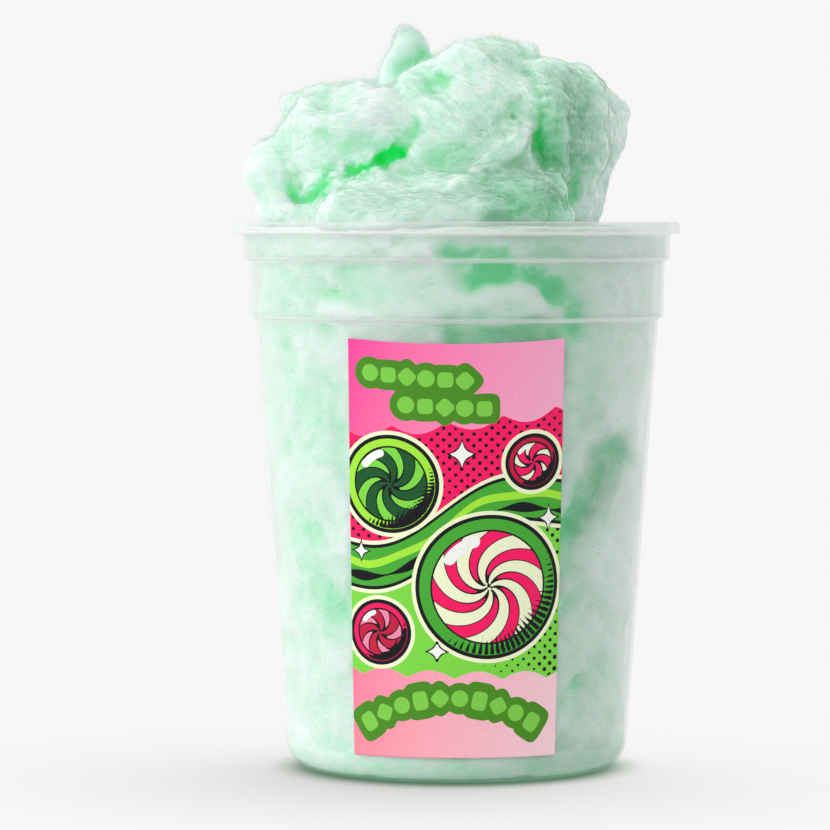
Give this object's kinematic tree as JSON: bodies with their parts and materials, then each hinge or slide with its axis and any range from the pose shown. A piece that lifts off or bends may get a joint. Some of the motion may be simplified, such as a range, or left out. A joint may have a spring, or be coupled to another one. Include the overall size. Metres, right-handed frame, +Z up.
{
  "type": "tub of cotton candy",
  "caption": "Tapered translucent plastic tub with a stepped collar, packed and heaped high with fluffy mint green cotton candy, with a curved film label on its front.",
  "frame": {"origin": "centre of the tub's foot, on the surface it stands on", "axes": "+Z up through the mouth, -Y towards the label, +X to the right of someone who faces the label"},
  "size_m": [0.1174, 0.1174, 0.196],
  "materials": {
    "tub_plastic": "translucent milky polypropylene, satin",
    "candy_floss": "fluffy spun sugar, fully matte, soft and wispy",
    "label_film": "printed film, semi-gloss"
  },
  "bodies": {
    "root": {"tub": "tub_plastic", "candy": "candy_floss", "label": "label_film"}
  },
  "joints": []
}
